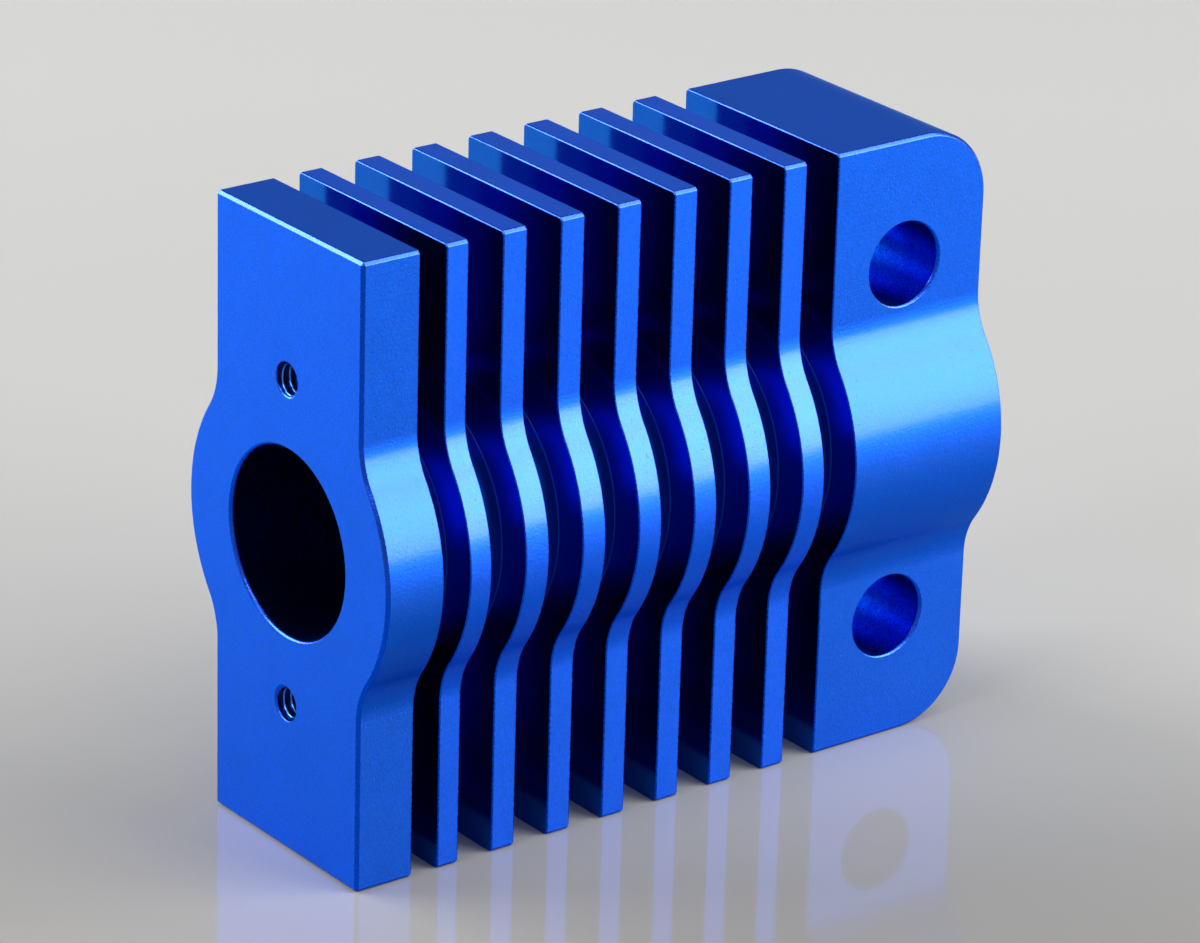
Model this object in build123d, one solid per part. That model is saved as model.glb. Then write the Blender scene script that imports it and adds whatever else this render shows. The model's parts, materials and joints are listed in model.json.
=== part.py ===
from build123d import *

import os

# A finned heatsink, machined from one aluminium bar. The bar's section is an upright
# flat plate with a round swelling half way up, and a bore runs through the swelling.
# Slots cut in from all round leave an end plate, a row of fins and a thick block,
# all on one round core. X runs along the bore from the end plate to the block,
# Y across the plate and Z up. The origin is the middle of the base. Millimetres.

# Section of the bar
height = 48.5
flat_thickness = 18.4
swelling_diameter = 25.4
hollow_radius = 5.8

# Along the bore, from the end plate to the block
end_plate_thickness = 4.9
first_slot_width = 2.28
first_fin_thickness = 1.88
slot_width = 3.0
fin_thickness = 2.08
full_fin_count = 6
block_length = 14.5
block_corner_radius = 5.8

# Bore, and the round core that the slots leave
bore_diameter = 14.4
core_diameter = 19.7

# Cross holes through the block
cross_hole_diameter = 6.5
cross_hole_spacing = 28.65
cross_hole_from_end = 7.7

# Screw holes through the end plate, at the size they are drilled for tapping
screw_hole_diameter = 2.26
screw_hole_spacing = 25.2

# Broken edges, each measured along the faces beside it
long_edge_break = 0.2
end_plate_break = 0.22
fin_break = 0.08
bore_break = 0.2
cross_hole_break = 0.22
screw_hole_break = 0.36

# Places that follow from the sizes above, measured from the end plate's outer face
first_fin_start = end_plate_thickness + first_slot_width
first_full_slot = first_fin_start + first_fin_thickness
fin_pitch = slot_width + fin_thickness
block_start = first_full_slot + full_fin_count * fin_pitch + slot_width
length = block_start + block_length

# Places in the part's own frame
end_face = -length / 2
block_face = length / 2
mid_height = height / 2


def bar_section():
    """The plate with its swelling, and a hollow where each flat meets the round."""
    reach = swelling_diameter / 2
    section = Rectangle(flat_thickness, height) + Circle(reach)
    meetings = section.vertices().filter_by_position(Axis.Y, -reach, reach)
    return fillet(meetings, hollow_radius)


def plain_bar():
    """The bar cut to length, with its block end rounded and its long edges broken."""
    section = Plane.YZ.offset(end_face) * Pos(0, mid_height) * bar_section()
    bar = extrude(section, amount=length)
    block_corners = bar.edges().filter_by(Axis.Y).group_by(Axis.X)[-1]
    bar = fillet(block_corners, block_corner_radius)
    rows = bar.edges().filter_by(Axis.X).group_by(Axis.Z)
    return chamfer(rows[0] + rows[-1], long_edge_break)


def slot_spans():
    """Where each slot starts and ends, measured from the end plate's outer face."""
    spans = [(end_plate_thickness, first_fin_start)]
    for index in range(full_fin_count + 1):
        start = first_full_slot + index * fin_pitch
        spans.append((start, start + slot_width))
    return spans


def slot_cutter(start, end):
    """A block wider and taller than the bar, less the core that the slot leaves."""
    around = Rectangle(2 * swelling_diameter, 2 * height) - Circle(core_diameter / 2)
    placed = Plane.YZ.offset(end_face + start) * Pos(0, mid_height) * around
    return extrude(placed, amount=end - start)


def is_on_core(edge):
    """True for the circle where a slot's wall meets the core."""
    return edge.geom_type == GeomType.CIRCLE and abs(edge.radius - core_diameter / 2) < 1e-4


def outline_edges(bar, place):
    """The edges round the bar's outline at this distance from the end plate's face."""
    position = end_face + place
    on_plane = bar.edges().filter_by_position(Axis.X, position - 1e-4, position + 1e-4)
    return on_plane.filter_by(lambda edge: not is_on_core(edge))


def drill(diameter, depth, mouth_break):
    """A drill along Z, centred on the origin, that also breaks the edge of both mouths."""
    radius = diameter / 2
    mouth = depth / 2
    half_section = Polyline(
        (0, -mouth),
        (radius + mouth_break, -mouth),
        (radius, mouth_break - mouth),
        (radius, mouth - mouth_break),
        (radius + mouth_break, mouth),
        (0, mouth),
        close=True,
    )
    return revolve(Plane.XZ * make_face(half_section), Axis.Z)


def finned_bar():
    """The bar with its slots cut and the outline of every plate lightly chamfered."""
    bar = plain_bar()
    for start, end in slot_spans():
        bar -= slot_cutter(start, end)
    bar = chamfer(outline_edges(bar, 0), end_plate_break)
    for start, end in slot_spans():
        bar = chamfer(outline_edges(bar, start), fin_break)
        bar = chamfer(outline_edges(bar, end), fin_break)
    return bar


def heatsink():
    """The finned bar with its bore, its two screw holes and its two cross holes."""
    along_bore = Rot(0, 90, 0)
    across = Rot(90, 0, 0)
    screw_drill = along_bore * drill(screw_hole_diameter, end_plate_thickness, screw_hole_break)
    cross_drill = across * drill(cross_hole_diameter, flat_thickness, cross_hole_break)
    body = finned_bar() - Pos(0, 0, mid_height) * along_bore * drill(bore_diameter, length, bore_break)
    for side in (-1, 1):
        screw_height = mid_height + side * screw_hole_spacing / 2
        cross_height = mid_height + side * cross_hole_spacing / 2
        body -= Pos(end_face + end_plate_thickness / 2, 0, screw_height) * screw_drill
        body -= Pos(block_face - cross_hole_from_end, 0, cross_height) * cross_drill
    return body


os.makedirs("parts", exist_ok=True)
body = heatsink()
print(f"heatsink: {body.volume:.1f} cubic mm, {length:.2f} long, {len(body.faces())} faces")
export_step(body, "parts/heatsink.step")
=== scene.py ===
# %% [markdown]
# # A finned heatsink in blue anodised aluminium
#
# The real part is cut from one aluminium bar. A bore runs through it, slots are milled in
# from all round, and two screw holes and two cross holes are drilled. Then it is anodised
# and dyed blue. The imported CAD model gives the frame: its box and its one node. This lesson
# models the same part again with bmesh operators, with smooth curves, broken edges and cut
# threads, and gives it the finish of dyed aluminium.

# %% Load the frame
import json
import math

import bmesh
import bpy
from mathutils import Matrix, Vector

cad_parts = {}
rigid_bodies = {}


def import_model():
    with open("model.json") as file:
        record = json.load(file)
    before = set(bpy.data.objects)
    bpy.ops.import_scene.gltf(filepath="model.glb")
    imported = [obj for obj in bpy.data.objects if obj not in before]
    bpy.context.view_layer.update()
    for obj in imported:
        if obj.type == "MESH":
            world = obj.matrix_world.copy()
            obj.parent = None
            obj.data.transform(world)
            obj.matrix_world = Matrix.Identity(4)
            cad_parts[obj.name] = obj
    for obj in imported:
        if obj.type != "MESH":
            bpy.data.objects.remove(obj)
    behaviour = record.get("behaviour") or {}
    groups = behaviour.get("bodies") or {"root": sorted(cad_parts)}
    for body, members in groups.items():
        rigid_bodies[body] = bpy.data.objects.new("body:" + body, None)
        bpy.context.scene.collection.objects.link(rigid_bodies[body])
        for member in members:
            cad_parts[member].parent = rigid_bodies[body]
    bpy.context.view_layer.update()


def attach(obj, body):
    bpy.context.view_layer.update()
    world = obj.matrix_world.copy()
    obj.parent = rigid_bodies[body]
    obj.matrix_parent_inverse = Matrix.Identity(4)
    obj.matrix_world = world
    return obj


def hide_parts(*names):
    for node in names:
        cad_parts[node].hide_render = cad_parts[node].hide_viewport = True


for leftover in list(bpy.data.objects):
    bpy.data.objects.remove(leftover)
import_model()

# %% [markdown]
# ## Sizes
#
# The sizes are the part's own, in millimetres. bmesh works best with numbers near one, so
# the mesh is made in millimetres round the bore's axis, and scaled to metres at the end.
# Places along the bore are measured from the end plate's outer face. A hole or a round is
# given by its radius, and a break by its width along the faces beside it.

# %% Sizes of the bar and its plates
HALF_HEIGHT = 48.5 / 2
HALF_FLAT = 18.4 / 2
SWELLING = 25.4 / 2
HOLLOW = 5.8
CORE = 19.7 / 2
BORE = 14.4 / 2
END_PLATE = 4.9
FIRST_SLOT, FIRST_FIN = 2.28, 1.88
SLOT, FIN = 3.0, 2.08
FULL_FINS = 6
BLOCK = 14.5
BLOCK_CORNER = 5.8

PLATES = [(0.0, END_PLATE)]
for gap, thickness in [(FIRST_SLOT, FIRST_FIN)] + FULL_FINS * [(SLOT, FIN)] + [(SLOT, BLOCK)]:
    start = PLATES[-1][1] + gap
    PLATES.append((start, start + thickness))
BLOCK_START, LENGTH = PLATES[-1]
print(f"{len(PLATES)} plates, {LENGTH:.2f} mm from end to end")

# %% Sizes of the holes and the breaks
CROSS_HOLE = 6.5 / 2
CROSS_HOLE_PLACE = LENGTH - 7.7
CROSS_HOLE_HEIGHT = 28.65 / 2
SCREW_HOLE_HEIGHT = 25.2 / 2
THREAD_CREST = 2.26 / 2
THREAD_ROOT = 2.845 / 2
THREAD_PITCH = 0.635
SCREW_MOUTH = THREAD_CREST + 0.3

EDGE_BREAK = 0.27
FIN_BREAK = 0.12
ROOT_FILLET = 0.13
BORE_BREAK = 0.28
CROSS_BREAK = 0.22
CROSS_MOUTH_DEPTH = 0.38

# The hollow is tangent to the round and to the flat.
hollow_across = HALF_FLAT + HOLLOW
hollow_height = math.sqrt((SWELLING + HOLLOW) ** 2 - hollow_across**2)
swelling_angle = math.asin(hollow_height / (SWELLING + HOLLOW))
print(f"The swelling runs {math.degrees(swelling_angle):.2f} degrees up and down from the front")

# %% [markdown]
# ## The section's outline
#
# The section is the same above and below the bore, and on both sides, so a quarter of it is
# enough: the front upper one. A single vertex is spun round the bore for the swelling and
# back round the hollow's centre, and then extruded up the flat and in to the middle. A spin
# gives an even arc that meets the flat without a kink, which a subdivided box would not.

# %% The quarter outline
SWELLING_STEPS = 14
HOLLOW_STEPS = 12
ALONG_BORE = (1, 0, 0)


def spin_on(bm, vertex, centre, angle, steps):
    """Sweeps a vertex round centre, about the bore's direction, and returns the last one."""
    swept = bmesh.ops.spin(
        bm, geom=[vertex], cent=centre, axis=ALONG_BORE, angle=angle, steps=steps, use_duplicate=False
    )
    return next(item for item in swept["geom_last"] if isinstance(item, bmesh.types.BMVert))


def extrude_on(bm, vertex, step):
    """Extrudes a vertex by step and returns the new one."""
    made = bmesh.ops.extrude_vert_indiv(bm, verts=[vertex])["verts"][0]
    bmesh.ops.translate(bm, verts=[made], vec=step)
    return made


def arc_line(bm, place, radius, steps):
    """A quarter circle round the bore, from the front to the top."""
    start = bm.verts.new((place, -radius, 0))
    spin_on(bm, start, (place, 0, 0), -math.pi / 2, steps)


def outline_line(bm, place):
    """The quarter outline, from the front of the swelling to the middle of the top."""
    start = bm.verts.new((place, -SWELLING, 0))
    tangent = spin_on(bm, start, (place, 0, 0), -swelling_angle, SWELLING_STEPS)
    hollow_centre = (place, -hollow_across, hollow_height)
    flat = spin_on(bm, tangent, hollow_centre, swelling_angle, HOLLOW_STEPS)
    corner = extrude_on(bm, flat, (0, 0, HALF_HEIGHT - hollow_height))
    extrude_on(bm, corner, (0, HALF_FLAT, 0))


def edges_made(bm, maker, *values):
    """Runs a maker and returns the edges that it added."""
    before = set(bm.edges)
    maker(bm, *values)
    return [edge for edge in bm.edges if edge not in before]


trial = bmesh.new()
print("edges in a quarter outline:", len(edges_made(trial, outline_line, 0)))
trial.free()

# %% [markdown]
# ## Skins and walls
#
# Each plate has a skin, the outline extruded along the bore, and each slot has a floor, the
# core's arc extruded the same way. A flat wall joins the two at every slot. A wall is one
# face with many corners: it lies in one plane, so it shades as one plane. Cutting the slots
# with a Boolean would also work, but it leaves slivers along the hollows.
#
# Each face carries a number for the way it is made on the real part. The number is its
# material slot, so the materials are added in the same order further on.

# %% Skins, slot floors and the bore
WAYS = (
    "extruded", "fins", "faced", "milled", "turned",
    "drilled", "cross drilled", "tapped", "crest", "broken",
)
EXTRUDED, FINS, FACED, MILLED, TURNED, DRILLED, CROSS_DRILLED, TAPPED, CREST, BROKEN = range(len(WAYS))
CORE_STEPS = 26
bm = bmesh.new()


def extrude_along(bm, edges, distance):
    """Extrudes a line of edges along the bore and returns its far edges."""
    grown = bmesh.ops.extrude_edge_only(bm, edges=edges)["geom"]
    vertices = [item for item in grown if isinstance(item, bmesh.types.BMVert)]
    bmesh.ops.translate(bm, verts=vertices, vec=(distance, 0, 0))
    moved = set(vertices)
    return [item for item in grown if isinstance(item, bmesh.types.BMEdge) and set(item.verts) <= moved]


outer_ends = []
for start, end in PLATES:
    near_end = edges_made(bm, outline_line, start)
    outer_ends.append((near_end, extrude_along(bm, near_end, end - start)))
core_ends = []
for (_, start), (end, _) in zip(PLATES, PLATES[1:]):
    near_end = edges_made(bm, arc_line, start, CORE, CORE_STEPS)
    core_ends.append((near_end, extrude_along(bm, near_end, end - start)))
bore_near = edges_made(bm, arc_line, BORE_BREAK, BORE, CORE_STEPS)
bore_far = extrude_along(bm, bore_near, LENGTH - 2 * BORE_BREAK)
print(f"{len(bm.faces)} faces in the skins, slot floors and bore")

# %% Helpers for the walls
SCREW_STEPS = 24


def end_vertex(edges, axis):
    """The vertex of a line of edges that lies on the middle plane across this axis."""
    vertices = {vertex for edge in edges for vertex in edge.verts}
    return min(vertices, key=lambda vertex: abs(vertex.co[axis]))


def join(bm, first, second):
    """An edge between two vertices."""
    return bmesh.ops.contextual_create(bm, geom=[first, second])["edges"][0]


def wall(bm, outer, inner, hole=()):
    """A flat face between two lines, round a half hole in the middle plane if there is one."""
    sides = [join(bm, end_vertex(outer, 2), end_vertex(inner, 2))]
    top, bottom = end_vertex(outer, 1), end_vertex(inner, 1)
    if hole:
        rim = sorted({vertex for edge in hole for vertex in edge.verts}, key=lambda vertex: vertex.co.z)
        sides += [join(bm, top, rim[-1]), join(bm, rim[0], bottom)]
    else:
        sides.append(join(bm, top, bottom))
    bmesh.ops.contextual_create(bm, geom=[*outer, *inner, *sides, *hole])


def half_circle(bm, place, radius, steps):
    """The front half of a screw hole's rim."""
    start = bm.verts.new((place, 0, SCREW_HOLE_HEIGHT + radius))
    spin_on(bm, start, (place, 0, SCREW_HOLE_HEIGHT), math.pi, steps)


print(f"a screw hole's rim has {SCREW_STEPS} edges")

# %% Walls and the bore's mouths
front_rim = edges_made(bm, half_circle, 0, SCREW_MOUTH, SCREW_STEPS // 2)
back_rim = edges_made(bm, half_circle, END_PLATE, SCREW_MOUTH, SCREW_STEPS // 2)
bore_mouths = [edges_made(bm, arc_line, place, BORE + BORE_BREAK, CORE_STEPS) for place in (0, LENGTH)]
wall(bm, outer_ends[0][0], bore_mouths[0], front_rim)
wall(bm, outer_ends[0][1], core_ends[0][0], back_rim)
for index in range(1, len(PLATES)):
    wall(bm, outer_ends[index][0], core_ends[index - 1][1])
    if index < len(core_ends):
        wall(bm, outer_ends[index][1], core_ends[index][0])
wall(bm, outer_ends[-1][1], bore_mouths[1])
for mouth, tube in zip(bore_mouths, (bore_near, bore_far)):
    for face in bmesh.ops.bridge_loops(bm, edges=mouth + tube)["faces"]:
        face.material_index = BROKEN
print(f"{len(bm.faces)} faces with the walls")

# %% [markdown]
# ## Rounded block corner and broken edges
#
# A bevel with many segments rounds the block's corner, as a cutter does. The bar's long
# edges and the outlines of both ends are broken, so that they don't cut the hand. They are
# bevelled together, so the breaks meet in clean corners. Five narrow facets and a profile
# of 0.3, between flat and round, give a break that is nearly flat in its middle and rolls
# into the faces beside it. One wide facet would flash all at once. The slots' edges have a
# smaller break, and a small fillet is left where each slot's wall meets the core, because
# a cutter's corner is never quite sharp.

# %% Block corner
SAME = 1e-4
CORNER_SEGMENTS = 20


def bevel(bm, edges, width, segments, finish, profile=0.5):
    """Bevels edges by a width measured along the faces beside them, and marks the finish."""
    made = bmesh.ops.bevel(
        bm, geom=edges, offset=width, offset_type="OFFSET", segments=segments, profile=profile,
        affect="EDGES", material=-1, clamp_overlap=False,
    )
    for face in made["faces"]:
        face.material_index = finish


def near(value, target):
    """True where two places are the same."""
    return abs(value - target) < SAME


def on_block_corner(edge):
    """True for an edge where the block's end meets its top."""
    return all(near(v.co.x, LENGTH) and near(v.co.z, HALF_HEIGHT) for v in edge.verts)


bmesh.ops.remove_doubles(bm, verts=bm.verts, dist=SAME)
corner = [edge for edge in bm.edges if on_block_corner(edge)]
bevel(bm, corner, BLOCK_CORNER, CORNER_SEGMENTS, EXTRUDED)
print(f"{len(corner)} corner edge rounded, {len(bm.faces)} faces")

# %% Long edges, the block's end and the end plate's outline
BREAK_FACETS = 5
BREAK_PROFILE = 0.3
OUTSIDE_CORE = CORE + 0.5
SQUARE = 0.99


def is_long_edge(edge):
    """True for an edge between the flat and the top, also round the block's corner."""
    first, second = (vertex.co for vertex in edge.verts)
    if not (near(first.y, -HALF_FLAT) and near(second.y, -HALF_FLAT)):
        return False
    on_top = near(first.z, HALF_HEIGHT) and near(second.z, HALF_HEIGHT)
    on_corner = min(first.x, second.x) > LENGTH - BLOCK_CORNER - SAME
    above_hollow = min(first.z, second.z) > hollow_height
    return (on_top and not near(first.x, second.x)) or (on_corner and above_hollow)


def walls_beside(edge):
    """How many of an edge's faces are square to the bore."""
    return sum(abs(face.normal.x) > SQUARE for face in edge.link_faces)


def is_end_outline(edge, place):
    """True for an edge of the outline in the plane at this place, with a wall on one side."""
    in_plane = all(near(vertex.co.x, place) for vertex in edge.verts)
    outside = all(math.hypot(vertex.co.y, vertex.co.z) > OUTSIDE_CORE for vertex in edge.verts)
    return in_plane and outside and len(edge.link_faces) == 2 and walls_beside(edge) == 1


def is_broken_edge(edge):
    """True for a long edge, and for the outline of either end."""
    return is_long_edge(edge) or is_end_outline(edge, 0) or is_end_outline(edge, LENGTH)


bm.normal_update()
broken_edges = [edge for edge in bm.edges if is_broken_edge(edge)]
bevel(bm, broken_edges, EDGE_BREAK, BREAK_FACETS, BROKEN, BREAK_PROFILE)
print(f"{len(broken_edges)} long and end edges broken, {len(bm.faces)} faces")

# %% Slot edges and the fillets at the core
FIN_FACETS = 2
FILLET_FACETS = 3


def is_core_edge(edge):
    """True where a slot's wall meets the core."""
    return all(near(math.hypot(v.co.y, v.co.z), CORE) for v in edge.verts) and walls_beside(edge) == 1


bm.normal_update()
slot_planes = [place for span in PLATES for place in span][1:-1]
slot_edges = [edge for place in slot_planes for edge in bm.edges if is_end_outline(edge, place)]
bevel(bm, slot_edges, FIN_BREAK, FIN_FACETS, BROKEN)
bm.normal_update()
root_edges = [edge for edge in bm.edges if is_core_edge(edge)]
bevel(bm, root_edges, ROOT_FILLET, FILLET_FACETS, TURNED)
print(f"{len(slot_edges)} slot edges, {len(root_edges)} root edges, {len(bm.faces)} faces")

# %% [markdown]
# ## Cross hole
#
# A hole crosses the block above the bore, and its mirror image crosses it below. The flat's
# one face is taken out, a circle is set in its place and the ring between them is filled
# with triangles, which all lie in the flat. The circle is then extruded in: first down the
# countersunk mouth and then to the middle plane. An extrusion copies the finish of the
# faces beside it, so the mouth gets its finish only after the hole has been drawn out of it.

# %% Take out the flat and set the hole's rim
FLAT = 0.999
CROSS_STEPS = 64


def ring_edges(bm, vertices):
    """The edges that join these vertices to each other."""
    chosen = set(vertices)
    return [edge for edge in bm.edges if set(edge.verts) <= chosen]


bm.normal_update()
block_faces = [
    face for face in bm.faces
    if abs(face.normal.y) > FLAT and face.calc_center_median().x > BLOCK_START
]
block_flat = max(block_faces, key=lambda face: face.calc_area())
border = list(block_flat.edges)
bmesh.ops.delete(bm, geom=[block_flat], context="FACES_ONLY")
mouth_centre = (CROSS_HOLE_PLACE, -HALF_FLAT, CROSS_HOLE_HEIGHT)
across = Matrix.Rotation(math.pi / 2, 4, "X")
rim = bmesh.ops.create_circle(
    bm, cap_ends=False, segments=CROSS_STEPS, radius=CROSS_HOLE + CROSS_BREAK,
    matrix=Matrix.Translation(mouth_centre) @ across,
)["verts"]
rim_edges = ring_edges(bm, rim)
bmesh.ops.triangle_fill(bm, edges=border + rim_edges, normal=(0, -1, 0), use_beauty=True)
print(f"the flat has {len(border)} edges round it and {len(rim_edges)} round the hole")

# %% Draw the hole in to the middle
def sink(bm, edges, centre, scale, depth):
    """Extrudes a ring, scales it about its centre, moves it in, and returns it with its faces."""
    grown = bmesh.ops.extrude_edge_only(bm, edges=edges)["geom"]
    vertices = [item for item in grown if isinstance(item, bmesh.types.BMVert)]
    to_centre = Matrix.Translation(-Vector(centre))
    bmesh.ops.scale(bm, verts=vertices, vec=(scale, scale, scale), space=to_centre)
    bmesh.ops.translate(bm, verts=vertices, vec=(0, depth, 0))
    return ring_edges(bm, vertices), [item for item in grown if isinstance(item, bmesh.types.BMFace)]


narrowing = CROSS_HOLE / (CROSS_HOLE + CROSS_BREAK)
throat, mouth_faces = sink(bm, rim_edges, mouth_centre, narrowing, CROSS_MOUTH_DEPTH)
hole_faces = sink(bm, throat, mouth_centre, 1, HALF_FLAT - CROSS_MOUTH_DEPTH)[1]
for face in mouth_faces:
    face.material_index = BROKEN
print(f"cross hole of {len(hole_faces)} faces, {len(bm.faces)} faces in the quarter")

# %% [markdown]
# ## The whole body
#
# The quarter is mirrored down and then across, and the seams are merged.

# %% Mirror the quarter
MERGE = 1e-3

for axis in ("Z", "Y"):
    everything = [*bm.verts, *bm.edges, *bm.faces]
    bmesh.ops.mirror(bm, geom=everything, matrix=Matrix.Identity(4), merge_dist=MERGE, axis=axis)
bmesh.ops.remove_doubles(bm, verts=bm.verts, dist=SAME)
open_edges = [edge for edge in bm.edges if len(edge.link_faces) != 2]
print(f"{len(bm.faces)} faces, {len(open_edges)} open edges at the screw holes")

# %% [markdown]
# ## Tapped threads
#
# Both screw holes are tapped. One pitch of the thread's outline is spun round the hole's axis and moved
# along it by one pitch a turn, so each turn's last line lies on the next turn's first and the two merge.
# Two planes cut the ends flush, and each end is bridged to its countersunk mouth. The outline has
# straight flanks and a small sloping facet on one side of each crest. Seen into the hole, the flanks are
# dark and the facets are thin bright crescents, which a bump pattern would not give from the side; their
# finishes add painted shade to the flanks and a painted highlight to the facets. The two threads start at
# different places along their holes, as two threads on a real part do.

# %% Helpers for the threads
TURN_STEPS = 24
CREST_LAND = 0.05
CREST_FACET = 0.07
ROOT_LAND = 0.08
RUN_IN = 0.12


def thread_outline(bm, start, height):
    """One pitch of the thread's outline, along the top of the hole at this height."""
    flank = (THREAD_PITCH - CREST_LAND - ROOT_LAND) / 2
    cut = THREAD_ROOT - THREAD_CREST
    point = bm.verts.new((start, 0, height + THREAD_CREST))
    for step in (
        (CREST_LAND, 0, 0),
        (flank, 0, cut),
        (ROOT_LAND, 0, 0),
        (flank - CREST_FACET, 0, CREST_FACET - cut),
        (CREST_FACET, 0, -CREST_FACET),
    ):
        point = extrude_on(bm, point, step)


def made_since(bm, before):
    """The vertices, edges and faces that are not in these three sets."""
    kinds = zip((bm.verts, bm.edges, bm.faces), before)
    return [item for kind, old in kinds for item in kind if item not in old]


def is_rim(edge, place, height):
    """True for an open edge of a screw hole's mouth."""
    reach = [math.hypot(vertex.co.y, vertex.co.z - height) for vertex in edge.verts]
    in_plane = all(near(vertex.co.x, place) for vertex in edge.verts)
    return in_plane and all(abs(r - SCREW_MOUTH) < MERGE for r in reach) and len(edge.link_faces) == 1


def is_cut_end(edge, place):
    """True for an open edge in the plane where a thread was cut off."""
    return len(edge.link_faces) == 1 and all(near(vertex.co.x, place) for vertex in edge.verts)


print(f"a thread has {math.ceil(END_PLATE / THREAD_PITCH)} turns in the end plate")

# %% Cut the threads
THREAD_STARTS = ((1, -0.05), (-1, -0.41))


def thread(bm, height, start):
    """A tube with a thread inside it, through the end plate at this height. Returns its faces."""
    before = (set(bm.verts), set(bm.edges), set(bm.faces))
    turns = math.ceil(END_PLATE / THREAD_PITCH) + 2
    thread_outline(bm, start - THREAD_PITCH, height)
    bmesh.ops.spin(
        bm, geom=made_since(bm, before), cent=(0, 0, height), axis=ALONG_BORE,
        dvec=(THREAD_PITCH / TURN_STEPS, 0, 0), angle=math.tau * turns, steps=TURN_STEPS * turns,
        use_duplicate=False,
    )
    spun = [vertex for vertex in bm.verts if vertex not in before[0]]
    bmesh.ops.remove_doubles(bm, verts=spun, dist=MERGE)
    for place, outwards in ((RUN_IN, -1), (END_PLATE - RUN_IN, 1)):
        tube = made_since(bm, before)
        bmesh.ops.bisect_plane(
            bm, geom=tube, plane_co=(place, 0, 0), plane_no=(outwards, 0, 0), clear_outer=True
        )
    for place, cut_place in ((0, RUN_IN), (END_PLATE, END_PLATE - RUN_IN)):
        mouth = [edge for edge in bm.edges if is_rim(edge, place, height)]
        cut_end = [edge for edge in bm.edges if edge not in before[1] and is_cut_end(edge, cut_place)]
        cone = bmesh.ops.bridge_loops(bm, edges=mouth + cut_end)["faces"]
        print(f"  bridged {len(mouth)} and {len(cut_end)} edges with {len(cone)} faces")
    return [face for face in bm.faces if face not in before[2]]


for side, start in THREAD_STARTS:
    print(f"thread of {len(thread(bm, side * SCREW_HOLE_HEIGHT, start))} faces")
open_edges = [edge for edge in bm.edges if len(edge.link_faces) != 2]
print(f"{len(bm.faces)} faces, {len(open_edges)} open edges")

# %% [markdown]
# ## The finished piece
#
# Each face is marked with the way it was made, because each way leaves its own marks under
# the dye: extruded skin, fin, faced end plate, milled slot, turned slot floor, drilled
# hole, thread or broken edge. The broken edges and the fillets were marked as they were
# bevelled. The block's end has the skin's finish, as the rounded corners beside it have, so
# no line shows where they meet.
#
# All faces are smooth, and a Weighted Normal modifier decides which of them set the
# normals. The large flats are the strongest, so they stay flat up to their edges. The long
# inner facets of a break are as strong, so a break shows as a line of light of its own. The
# narrow facets beside the flats are the weakest and blend one into the other. Flat shading
# would show every facet, and plain smooth shading would bend the light on the flats.

# %% How strong each face is
WEAK, MEDIUM, STRONG = -16384, 0, 16384
EXACTLY_FLAT = 0.9999
LONG_FACET = 0.3

bmesh.ops.recalc_face_normals(bm, faces=bm.faces)
bm.normal_update()
strength = bm.faces.layers.int.new("__mod_weightednormals_faceweight")
narrow = {face for face in bm.faces if face.material_index in (TURNED, BROKEN)}
broken = {face for face in narrow if face.material_index == BROKEN}
for face in bm.faces:
    inner = all(other in broken for edge in face.edges for other in edge.link_faces)
    long_and_inner = inner and max(edge.calc_length() for edge in face.edges) > LONG_FACET
    flat = face not in narrow and max(map(abs, face.normal)) > EXACTLY_FLAT
    face[strength] = STRONG if flat or long_and_inner else WEAK if face in narrow else MEDIUM
    face.smooth = True
for name, value in (("weak", WEAK), ("medium", MEDIUM), ("strong", STRONG)):
    print(f"{sum(face[strength] == value for face in bm.faces)} {name} faces")

# %% How each face was made
BETWEEN_BORE_AND_CORE = BORE + 1
MARGIN = 0.01


def screw_hole_way(face):
    """How a face inside a screw hole was made: its mouth, a thread's crest or a flank."""
    reach = max(math.hypot(vertex.co.y, abs(vertex.co.z) - SCREW_HOLE_HEIGHT) for vertex in face.verts)
    if reach > SCREW_MOUTH - MERGE:
        return BROKEN
    return CREST if reach < THREAD_CREST + CREST_FACET + MARGIN else TAPPED


def way_made(face):
    """How a face of the body was made, from where it is and the way it faces."""
    if face.material_index in (BROKEN, TURNED):
        return face.material_index
    middle = face.calc_center_median()
    from_axis = math.hypot(middle.y, middle.z)
    from_screw = math.hypot(middle.y, abs(middle.z) - SCREW_HOLE_HEIGHT)
    from_cross = math.hypot(middle.x - CROSS_HOLE_PLACE, abs(middle.z) - CROSS_HOLE_HEIGHT)
    if abs(face.normal.x) > FLAT and from_screw > SCREW_MOUTH:
        return FACED if middle.x < MARGIN else EXTRUDED if middle.x > LENGTH - MARGIN else MILLED
    if from_axis < BETWEEN_BORE_AND_CORE:
        return DRILLED
    if from_axis < CORE + SAME:
        return TURNED
    if from_screw < SCREW_MOUTH:
        return screw_hole_way(face)
    if from_cross < CROSS_HOLE + CROSS_BREAK - MERGE:
        return CROSS_DRILLED
    return FINS if END_PLATE < middle.x < BLOCK_START else EXTRUDED


for face in bm.faces:
    face.material_index = way_made(face)
for way, name in enumerate(WAYS):
    print(f"{sum(face.material_index == way for face in bm.faces)} {name} faces")

# %% [markdown]
# The mesh goes to its place in metres before the object is made, so the object itself stays
# at the origin, unturned and unscaled, and the patterns on it keep their real sizes.

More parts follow.
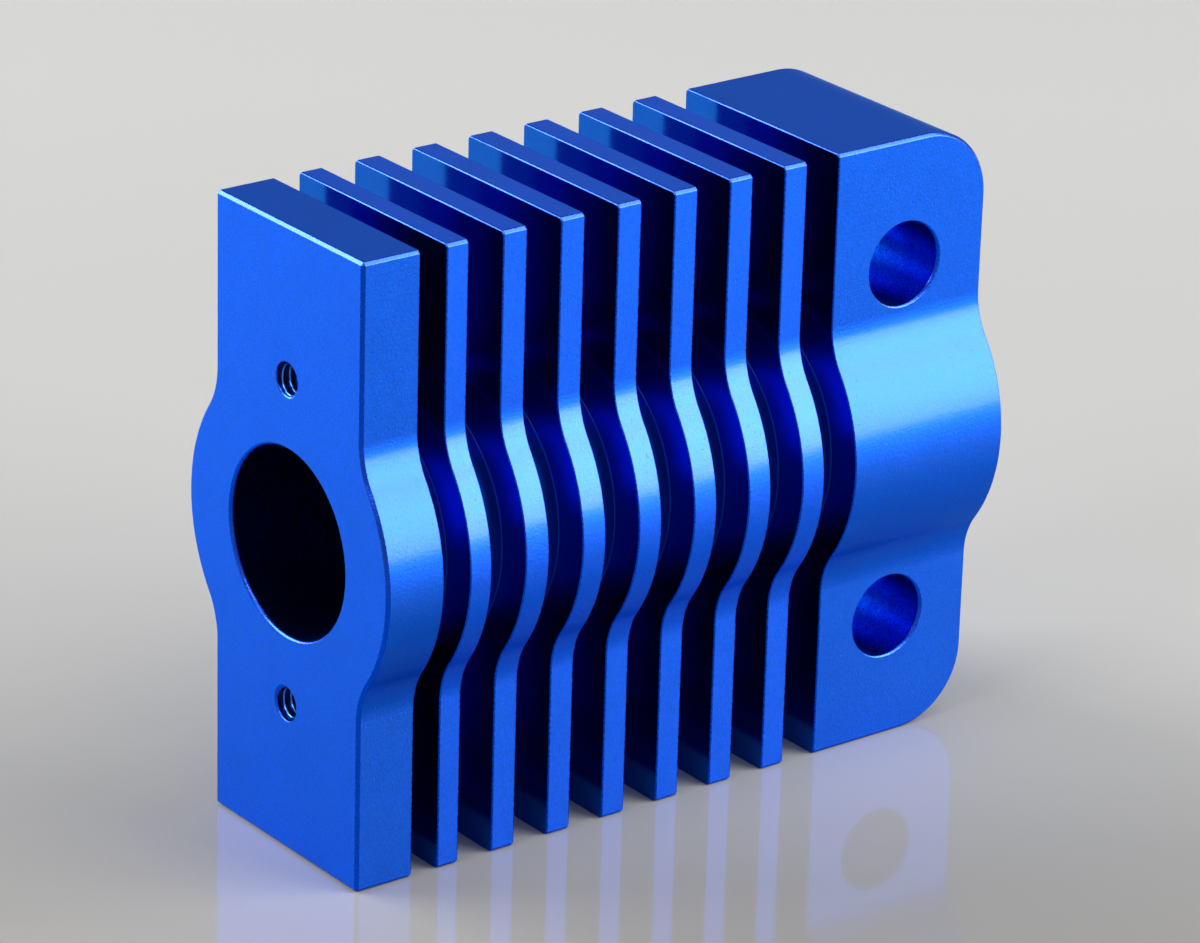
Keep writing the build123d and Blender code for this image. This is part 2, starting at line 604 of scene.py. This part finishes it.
# %% Make the object
to_frame = Matrix.Scale(0.001, 4) @ Matrix.Translation((-LENGTH / 2, 0, HALF_HEIGHT))
bmesh.ops.transform(bm, matrix=to_frame, verts=bm.verts)
mesh = bpy.data.meshes.new("heatsink_body")
bm.to_mesh(mesh)
bm.free()
heatsink = bpy.data.objects.new("heatsink_body", mesh)
bpy.context.scene.collection.objects.link(heatsink)
weighted = heatsink.modifiers.new("large faces first", "WEIGHTED_NORMAL")
weighted.mode = "CORNER_ANGLE"
weighted.keep_sharp = True
weighted.use_face_influence = True
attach(heatsink, "root")
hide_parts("heatsink")
print(f"heatsink_body: {len(mesh.vertices)} vertices, {len(mesh.polygons)} faces")

# %% [markdown]
# ## Anodised finish
#
# The whole body is dyed blue in one bath, but each way of cutting the metal leaves its own marks under
# the dye, so there is one material for each. Several of them also carry painted light: darker dyes paint
# the shade in the slots, the bore and the threads' flanks, paler ones paint the light on the fins and the
# threads' crests, and the coat's strength is painted by slope. Anodising is dyed metal under a clear
# oxide film. A blue metal with a clear coat gives both: the metal's reflection takes the dye's colour and
# the coat's stays white, which is what makes the bright band pale. A blue plastic would look chalky here.
#
# The marks that several finishes share are built once, as node groups. They read Object
# coordinates, because the marks have real sizes on the metal, and no unwrapping is needed.

# %% Helpers for nodes
PER_METRE = 1000


def add(tree, kind, inputs=None, **settings):
    """Adds a shader node, sets its options and fills or links its inputs."""
    node = tree.nodes.new("ShaderNode" + kind)
    for name, value in settings.items():
        setattr(node, name, value)
    for name, value in (inputs or {}).items():
        if isinstance(value, bpy.types.NodeSocket):
            tree.links.new(value, node.inputs[name])
        else:
            node.inputs[name].default_value = value
    return node


def math_node(tree, operation, first, second=0.5, clamp=False):
    """The result of one sum on two values or sockets."""
    return add(tree, "Math", {0: first, 1: second}, operation=operation, use_clamp=clamp).outputs[0]


def colour_ramp(tree, value, stops):
    """The colour at a value on a ramp of (position, colour) stops, in order."""
    ramp = add(tree, "ValToRGB", {"Fac": value})
    elements = ramp.color_ramp.elements
    for element, (position, colour) in zip(tuple(elements), (stops[0], stops[-1])):
        element.position, element.color = position, (*colour, 1)
    for position, colour in stops[1:-1]:
        elements.new(position).color = (*colour, 1)
    return ramp.outputs["Color"]


def new_group(name, inputs, outputs):
    """An empty node group with named sockets, and its input and output nodes' sockets."""
    group = bpy.data.node_groups.new(name, "ShaderNodeTree")
    for label, kind, value in inputs:
        socket = group.interface.new_socket(label, in_out="INPUT", socket_type="NodeSocket" + kind)
        socket.default_value = value
    for label, kind in outputs:
        group.interface.new_socket(label, in_out="OUTPUT", socket_type="NodeSocket" + kind)
    return group, group.nodes.new("NodeGroupInput").outputs, group.nodes.new("NodeGroupOutput").inputs


# %% [markdown]
# Ripple: soft waves of one size, in millimetres. Stretch below 1 along an axis draws the
# waves out along it, which turns grain into the long lines that a die or a cutter leaves.

# %% Ripple group
ripple, given, result = new_group(
    "ripple",
    [("Place", "Vector", (0, 0, 0)), ("Stretch", "Vector", (1, 1, 1)), ("Size", "Float", 0.3)],
    [("Height", "Float")],
)
drawn_out = add(ripple, "VectorMath", {0: given["Place"], 1: given["Stretch"]}, operation="MULTIPLY")
waves_per_metre = math_node(ripple, "DIVIDE", PER_METRE, given["Size"])
waves = add(ripple, "TexNoise", {
    "Vector": drawn_out.outputs[0], "Scale": waves_per_metre, "Detail": 3, "Roughness": 0.6,
})
ripple.links.new(waves.outputs["Fac"], result["Height"])
print("ripple group:", len(ripple.nodes), "nodes")

# %% [markdown]
# Dimples: small round pits scattered over the metal. Each Voronoi cell has one point and a
# random colour. A pit is sunk round the point, and only in the share of the cells whose
# random value is low enough, so the pits come out sparse and uneven.

# %% Dimples group
dimples, given, result = new_group(
    "dimples",
    [("Place", "Vector", (0, 0, 0)), ("Spacing", "Float", 1), ("Radius", "Float", 0.07),
     ("Share", "Float", 0.3)],
    [("Depth", "Float")],
)
cells_per_metre = math_node(dimples, "DIVIDE", PER_METRE, given["Spacing"])
cells = add(dimples, "TexVoronoi", {"Vector": given["Place"], "Scale": cells_per_metre, "Randomness": 1})
from_point = math_node(dimples, "MULTIPLY", cells.outputs["Distance"], given["Spacing"])
of_radius = math_node(dimples, "DIVIDE", from_point, given["Radius"])
inside = math_node(dimples, "SUBTRACT", 1, of_radius, clamp=True)
random_value = add(dimples, "SeparateColor", {"Color": cells.outputs["Color"]}).outputs[0]
chosen = math_node(dimples, "LESS_THAN", random_value, given["Share"])
dimples.links.new(math_node(dimples, "MULTIPLY", inside, chosen), result["Depth"])
print("dimples group:", len(dimples.nodes), "nodes")

# %% [markdown]
# Uneven dye: the bath takes a little more in one place than in the next. Fine grain and
# soft blotches make the colour darker and lighter by up to about a tenth, and the same
# pattern leaves the surface a little rougher or smoother.

# %% Uneven dye group
BLOTCHES_PER_METRE = 260
BLOTCH_SHARE = 0.25
ROUGHNESS_SHARE = 0.25

uneven_dye, given, result = new_group(
    "uneven_dye",
    [("Place", "Vector", (0, 0, 0)), ("Dye", "Color", (0, 0, 0, 1)), ("Grain", "Float", 0.1),
     ("Amount", "Float", 0.3), ("Roughness", "Float", 0.38)],
    [("Color", "Color"), ("Roughness", "Float")],
)


def noise_round_zero(tree, place, scale, detail):
    """Noise that swings as far below zero as above it."""
    noise = add(tree, "TexNoise", {"Vector": place, "Scale": scale, "Detail": detail})
    return math_node(tree, "SUBTRACT", noise.outputs["Fac"], 0.5)


grains_per_metre = math_node(uneven_dye, "DIVIDE", PER_METRE, given["Grain"])
grain = noise_round_zero(uneven_dye, given["Place"], grains_per_metre, 2)
blotches = noise_round_zero(uneven_dye, given["Place"], BLOTCHES_PER_METRE, 4)
both = math_node(uneven_dye, "ADD", grain, math_node(uneven_dye, "MULTIPLY", blotches, BLOTCH_SHARE))
swing = math_node(uneven_dye, "MULTIPLY", both, given["Amount"])
brightness = math_node(uneven_dye, "ADD", swing, 1)
tinted = add(uneven_dye, "HueSaturation", {"Color": given["Dye"], "Value": brightness})
rougher = math_node(uneven_dye, "MULTIPLY", swing, ROUGHNESS_SHARE)
uneven_dye.links.new(tinted.outputs["Color"], result["Color"])
uneven_dye.links.new(math_node(uneven_dye, "ADD", rougher, given["Roughness"]), result["Roughness"])
print("uneven dye group:", len(uneven_dye.nodes), "nodes")

# %% [markdown]
# Painted sheen: on the real part the surfaces that lean up look paler than the others do, in the light
# that falls on them, and this group paints that light into the coat's strength by slope. A coat of one
# strength everywhere would make the upright sides, the tops and the underside too pale beside them. So
# the coat counts in full where the surface leans up, about half on upright sides, and least on flat tops
# and where it leans down. The mask reads the way the surface faces, never where the camera is. Contrast
# above 1 takes more of the coat away wherever it is thin.

# %% Painted sheen group
# From 0 where the surface faces down, through 0.5 on upright sides, to 1 on flat tops.
# Shares of the coat by slope, a painted sheen.
PAINTED_SHEEN_BY_SLOPE = ((0.42, 0.2), (0.5, 0.5), (0.6, 0.8), (0.88, 1), (0.96, 0.3))

painted_sheen, given, result = new_group(
    "painted_sheen",
    [("Facing", "Vector", (0, 0, 1)), ("Coat", "Float", 0.5), ("Contrast", "Float", 1)],
    [("Coat", "Float")],
)
upward = add(painted_sheen, "SeparateXYZ", {0: given["Facing"]}).outputs["Z"]
slope = math_node(painted_sheen, "ADD", math_node(painted_sheen, "MULTIPLY", upward, 0.5), 0.5)
painted_sheen_left = colour_ramp(painted_sheen, slope, [(position, 3 * (share,)) for position, share in PAINTED_SHEEN_BY_SLOPE])
missing = math_node(painted_sheen, "SUBTRACT", 1, painted_sheen_left)
taken_off = math_node(painted_sheen, "MULTIPLY", missing, given["Contrast"])
left_on = math_node(painted_sheen, "SUBTRACT", 1, taken_off, clamp=True)
painted_sheen.links.new(math_node(painted_sheen, "MULTIPLY", left_on, given["Coat"]), result["Coat"])
print("sheen group:", len(painted_sheen.nodes), "nodes")

# %% [markdown]
# One function makes every finish from these groups. It adds up the heights of its marks in
# thousandths of a millimetre and gives the sum to one Bump node, whose distance is then one
# thousandth of a millimetre, so the depths below are real depths. The metal's own colour is
# the dye, and a blue tint keeps its reflection blue at grazing angles too, where a plain
# metal turns white.

# %% Helper for the finishes
GRAIN = 0.16
GRAZING_BLUE = (0.1, 0.62, 1, 1)
COAT_ROUGHNESS = 0.18
THOUSANDTH_OF_A_MM = 1e-6
NO_PITS = (1, 0.05, 0.3, 0)


def grouped(tree, group, **inputs):
    """Places a node group in a material with its own values, and returns its outputs."""
    return add(tree, "Group", inputs, node_tree=group).outputs


def anodised(
    name, dye, roughness, marks, pits=NO_PITS, amount=0.5, coat=0.4, contrast=1, line_place=None
):
    """Adds a blue anodised finish to the body's materials.

    Marks are (stretch, size, depth) and pits are (spacing, radius, share, depth), with
    lengths in millimetres and depths in thousandths of one. The dye swings by amount.
    Coat is the clear film's strength, and contrast its difference between slopes in the painted sheen.
    """
    material = bpy.data.materials.new(name)
    material.use_nodes = True
    tree = material.node_tree
    shader = tree.nodes["Principled BSDF"]
    shader.inputs["Metallic"].default_value = 1
    shader.inputs["Specular Tint"].default_value = GRAZING_BLUE
    shader.inputs["Coat Roughness"].default_value = COAT_ROUGHNESS
    texture = add(tree, "TexCoord").outputs
    place = texture["Object"]
    surface = grouped(
        tree, uneven_dye, Place=place, Dye=(*dye, 1), Grain=GRAIN, Amount=amount, Roughness=roughness
    )
    tree.links.new(surface["Color"], shader.inputs["Base Color"])
    tree.links.new(surface["Roughness"], shader.inputs["Roughness"])
    spacing, radius, share, depth = pits
    pit = grouped(tree, dimples, Place=place, Spacing=spacing, Radius=radius, Share=share)
    height = math_node(tree, "MULTIPLY", pit["Depth"], -depth)
    lines_on = line_place(tree, place) if line_place else place
    for stretch, size, depth in marks:
        wave = grouped(tree, ripple, Place=lines_on, Stretch=stretch, Size=size)
        height = math_node(tree, "ADD", height, math_node(tree, "MULTIPLY", wave["Height"], depth))
    # The clear film's coat, with its strength by slope painted as a sheen.
    film_and_painted_sheen = grouped(tree, painted_sheen, Facing=texture["Normal"], Coat=coat, Contrast=contrast)
    tree.links.new(film_and_painted_sheen["Coat"], shader.inputs["Coat Weight"])
    bump = add(tree, "Bump", {"Height": height, "Distance": THOUSANDTH_OF_A_MM, "Strength": 1})
    tree.links.new(bump.outputs["Normal"], shader.inputs["Normal"])
    mesh.materials.append(material)
    print(f"{name}: {len(tree.nodes)} nodes")


# %% [markdown]
# The extruded skin has a soft orange peel, faint lines along the bar from the die, and a few dimples. The
# fins carry the same skin, and look a little brighter than the broad faces on the real part: their finish
# is a copy with a paler dye and a stronger coat, which paints that extra light on them. The end plate's
# faced front is finer, with lines across it from the cutter.

# %% Extruded and faced finishes
EVEN = (1, 1, 1)
PEEL = (EVEN, 0.2, 23)
DIE_LINES = ((0.02, 1, 1), 0.14, 8)
SKIN_PITS = (0.45, 0.08, 0.4, 26)
anodised("anodised_extruded", (0.001, 0.103, 0.7), 0.42, [PEEL, DIE_LINES], SKIN_PITS, coat=0.65)
# A paler copy of the skin's finish: painted light on the fins.
anodised("anodised_fins_painted_lighter", (0.001, 0.115, 0.86), 0.43, [PEEL, DIE_LINES], SKIN_PITS, coat=0.85)

FINE_PEEL = (EVEN, 0.16, 26)
FACE_LINES = ((1, 0.03, 1), 0.2, 3)
FACE_PITS = (1.5, 0.08, 0.2, 20)
anodised("anodised_faced", (0.001, 0.12, 0.88), 0.38, [FINE_PEEL, FACE_LINES], FACE_PITS)

# %% [markdown]
# The slots are milled, and their walls carry arcs from the cutter. The distance from a point beyond the
# top of the bar stays the same along such an arc, so a pattern that changes with that distance alone
# draws the arcs. The slots' floors have fine lines round the core. Both have a darker dye than the skin,
# which paints the shade deep in the slots, where the real slots look almost black inside.

# %% Milled and turned finishes
CUTTER_HEIGHT = 0.075
FINE_ARCS = (EVEN, 0.14, 1.5)
BROAD_ARCS = (EVEN, 0.5, 2)
ROUND_LINES = ((1, 0.03, 0.03), 0.2, 3)


def along_arcs(tree, place):
    """Coordinates that change only across the cutter's arcs."""
    centred = add(tree, "VectorMath", {0: place, 1: (0, 0, -CUTTER_HEIGHT)}, operation="ADD").outputs[0]
    flat = add(tree, "VectorMath", {0: centred, 1: (0, 1, 1)}, operation="MULTIPLY").outputs[0]
    distance = add(tree, "VectorMath", {0: flat}, operation="LENGTH").outputs["Value"]
    return add(tree, "CombineXYZ", {"X": distance}).outputs[0]


SLOT_MARKS = [FINE_ARCS, BROAD_ARCS]
# A darker dye than the skin's: painted shade on the slots' walls.
anodised("anodised_milled_painted_shade", (0.0006, 0.105, 0.57), 0.13, SLOT_MARKS, coat=0.3, line_place=along_arcs)
# A still darker dye: painted shade on the slots' floors and fillets.
anodised("anodised_turned_painted_shade", (0.0006, 0.04, 0.33), 0.4, [ROUND_LINES], coat=0.3)

# %% [markdown]
# A drill leaves rings round a hole and long scores where chips were drawn out along it. The bore runs
# along X and the cross holes along Y, so each has its own stretch. The bore is dark inside, in shade, so
# it has the darker dye of the two, a painted shade.

# %% Drilled finishes
BORE_SCORES = ((0.03, 1, 1), 0.3, 3)
BORE_RINGS = ((1, 0.05, 0.05), 0.15, 2)
CROSS_SCORES = ((1, 0.03, 1), 0.4, 20)
CROSS_RINGS = ((0.04, 1, 0.04), 0.12, 25)
CROSS_MARKS = [CROSS_SCORES, CROSS_RINGS]
# A dark dye: painted shade inside the bore.
anodised("anodised_drilled_painted_shade", (0.0004, 0.035, 0.3), 0.27, [BORE_SCORES, BORE_RINGS])
anodised("anodised_cross_drilled", (0.0006, 0.12, 0.78), 0.28, CROSS_MARKS, amount=0.6)

# %% [markdown]
# Seen into the hole, the thread's flanks are almost black in shade, so they get a dark dye and no coat: a
# painted shade. The facets along its crests shine: their dye is pale and their coat strong, a painted
# highlight. Two finishes on real facets keep the crescents crisp, which one finish with a pattern of
# stripes would not do.

# %% Thread finishes
THREAD_GRAIN = (EVEN, 0.2, 4)
# A dye near black: painted shade on the flanks.
anodised("anodised_tapped_painted_shade", (0.0003, 0.01, 0.1), 0.3, [THREAD_GRAIN], coat=0)
# A pale dye and a strong coat: a painted highlight on the crests.
anodised("anodised_crest_painted_highlight", (0.06, 0.33, 1), 0.3, [THREAD_GRAIN], coat=0.8)

# %% [markdown]
# On the broken edges the light catches in short runs. Coarse, deep marks break up their highlight. A high
# contrast in the painted sheen keeps the coat on the edges that lean up, which shine as pale lines along
# the tops, a painted highlight, and takes it off the upright ones, which stay navy.

# %% Broken edges
NICKS = (EVEN, 0.3, 40)
EDGE_LINES = ((1, 0.06, 1), 0.12, 5)
EDGE_MARKS = [NICKS, EDGE_LINES]
# Contrast 1.9 paints the sheen onto the edges that lean up and takes it off the upright ones.
anodised("anodised_broken_edge", (0.002, 0.088, 0.82), 0.27, EDGE_MARKS, coat=0.9, contrast=1.9)

# %% [markdown]
# ## Floor
#
# The part stands on a pale glossy sheet. Its colour follows a ramp along one line on the floor, a painted
# shade that is darker in front of the part and paler behind it, as the backdrop is in the photograph. The
# line is fixed to the floor, so nothing slides when the camera moves. A few percent of mirror is mixed
# over the colour for the part's faint reflection. The mix is the same at every angle. A Fresnel gloss
# grows toward grazing angles, and burns out when the floor is seen low against the lamps.

# %% Floor sheet
floor_bm = bmesh.new()
bmesh.ops.create_grid(floor_bm, x_segments=1, y_segments=1, size=3)
floor_mesh = bpy.data.meshes.new("floor")
floor_bm.to_mesh(floor_mesh)
floor_bm.free()
floor = bpy.data.objects.new("floor", floor_mesh)
bpy.context.scene.collection.objects.link(floor)
print("floor corners:", [tuple(round(value, 2) for value in vertex.co) for vertex in floor_mesh.vertices])

# %% Floor finish
AWAY = (0.606, 0.795, 0)
RAMP_START, RAMP_END = -0.04, 0.16
MIRROR_SHARE = 0.043
MIRROR_ROUGHNESS = 0.06


def warm(grey):
    """A slightly warm grey."""
    return (grey, grey * 0.995, grey * 0.97)


# Floor colours along the ramp, a painted shade: darkest in front of the part.
FLOOR_PAINTED_SHADE = [
    (0.05, (0.278, 0.272, 0.255)),
    (0.13, warm(0.325)),
    (0.2, warm(0.378)),
    (0.26, warm(0.396)),
    (0.7, warm(0.403)),
    (1, (0.42, 0.42, 0.413)),
]
floor_material = bpy.data.materials.new("floor_gloss")
floor_material.use_nodes = True
tree = floor_material.node_tree
on_floor = add(tree, "TexCoord").outputs["Object"]
along = add(tree, "VectorMath", {0: on_floor, 1: AWAY}, operation="DOT_PRODUCT").outputs["Value"]
span = add(tree, "MapRange", {"Value": along, "From Min": RAMP_START, "From Max": RAMP_END})
matt = tree.nodes["Principled BSDF"]
matt.inputs["Specular IOR Level"].default_value = 0
tree.links.new(colour_ramp(tree, span.outputs["Result"], FLOOR_PAINTED_SHADE), matt.inputs["Base Color"])
mirror = add(tree, "BsdfGlossy", {"Color": (1, 1, 1, 1), "Roughness": MIRROR_ROUGHNESS})
mixed = add(tree, "MixShader", {"Fac": MIRROR_SHARE, 1: matt.outputs["BSDF"], 2: mirror.outputs["BSDF"]})
tree.links.new(mixed.outputs["Shader"], tree.nodes["Material Output"].inputs["Surface"])
floor_mesh.materials.append(floor_material)
print("floor finish:", len(tree.nodes), "nodes")

# %% [markdown]
# ## Camera and lights
#
# The camera's place, direction and lens were solved from straight edges and round outlines
# in the photograph. Metal shows what it mirrors, so each lamp stands where one kind of
# surface mirrors it, or its soft glow, toward the camera:
#
# - key: the front. It makes the pale band on the swelling, and its glow lights the flats.
# - rim: from behind on the left. Its glow lights the end plate's outer face.
# - back: the flat tops. It is dim, so they stay darker than the front.
# - top: soft light from above, which fills the shadow on the floor.
# - edge: the broken edges between the tops and the front.
# - side: small and strong, for the crests of the threads.
#
# A lamp's energy is worked out from its radiance and its area, so a lamp can change its
# size and keep its brightness in the metal.

# %% Camera
CAMERA_PLACE = (-0.237415, -0.307239, 0.182079)
SIGHT = (0.565667, 0.732763, -0.378258)
UP = (0.208621, 0.316614, 0.925328)

camera_data = bpy.data.cameras.new("camera")
camera_data.lens = 168.3
camera_data.sensor_width = 36
camera_data.clip_start = 0.01
camera_data.clip_end = 20
camera = bpy.data.objects.new("camera", camera_data)
bpy.context.scene.collection.objects.link(camera)
sight = Vector(SIGHT).normalized()
side = sight.cross(Vector(UP).normalized()).normalized()
turn = Matrix((side, side.cross(sight), -sight)).transposed()
camera.matrix_world = Matrix.Translation(CAMERA_PLACE) @ turn.to_4x4()
bpy.context.scene.camera = camera
print(f"camera {Vector(CAMERA_PLACE).length:.3f} m from the origin, lens {camera_data.lens:.1f} mm")

# %% Lights
LOOK_AT = Vector((0, 0, 0.024))


def softbox(name, azimuth, elevation, distance, width, height, radiance):
    """A soft lamp that looks at the middle of the part. Azimuth 0 is the front, 90 the right."""
    light = bpy.data.lights.new(name, "AREA")
    light.shape = "RECTANGLE"
    light.size, light.size_y = width, height
    light.energy = radiance * width * height * math.pi
    lamp = bpy.data.objects.new(name, light)
    a, e = math.radians(azimuth), math.radians(elevation)
    outwards = Vector((math.sin(a) * math.cos(e), -math.cos(a) * math.cos(e), math.sin(e)))
    lamp.location = LOOK_AT + outwards * distance
    lamp.rotation_mode = "QUATERNION"
    lamp.rotation_quaternion = outwards.to_track_quat("Z", "Y")
    bpy.context.scene.collection.objects.link(lamp)
    print(f"{name}: {light.energy:.2f} W")


softbox("key", azimuth=42, elevation=18.5, distance=1.0, width=0.9, height=0.72, radiance=6.8)
softbox("rim", azimuth=-143, elevation=24, distance=1.0, width=0.8, height=0.86, radiance=6.8)
softbox("back", azimuth=143, elevation=24, distance=1.2, width=0.9, height=0.6, radiance=0.13)
softbox("top", azimuth=20, elevation=80, distance=1.1, width=0.8, height=0.8, radiance=1.6)
softbox("edge", azimuth=56, elevation=47, distance=1.0, width=0.42, height=0.42, radiance=3.6)
softbox("side", azimuth=-80, elevation=37, distance=1.0, width=0.3, height=0.3, radiance=8)

# %% World
world = bpy.data.worlds.new("studio")
bpy.context.scene.world = world
world.use_nodes = True
world.node_tree.nodes["Background"].inputs["Color"].default_value = (0.3, 0.3, 0.3, 1)
bpy.context.scene.view_settings.view_transform = "Standard"
print("world:", world.name)
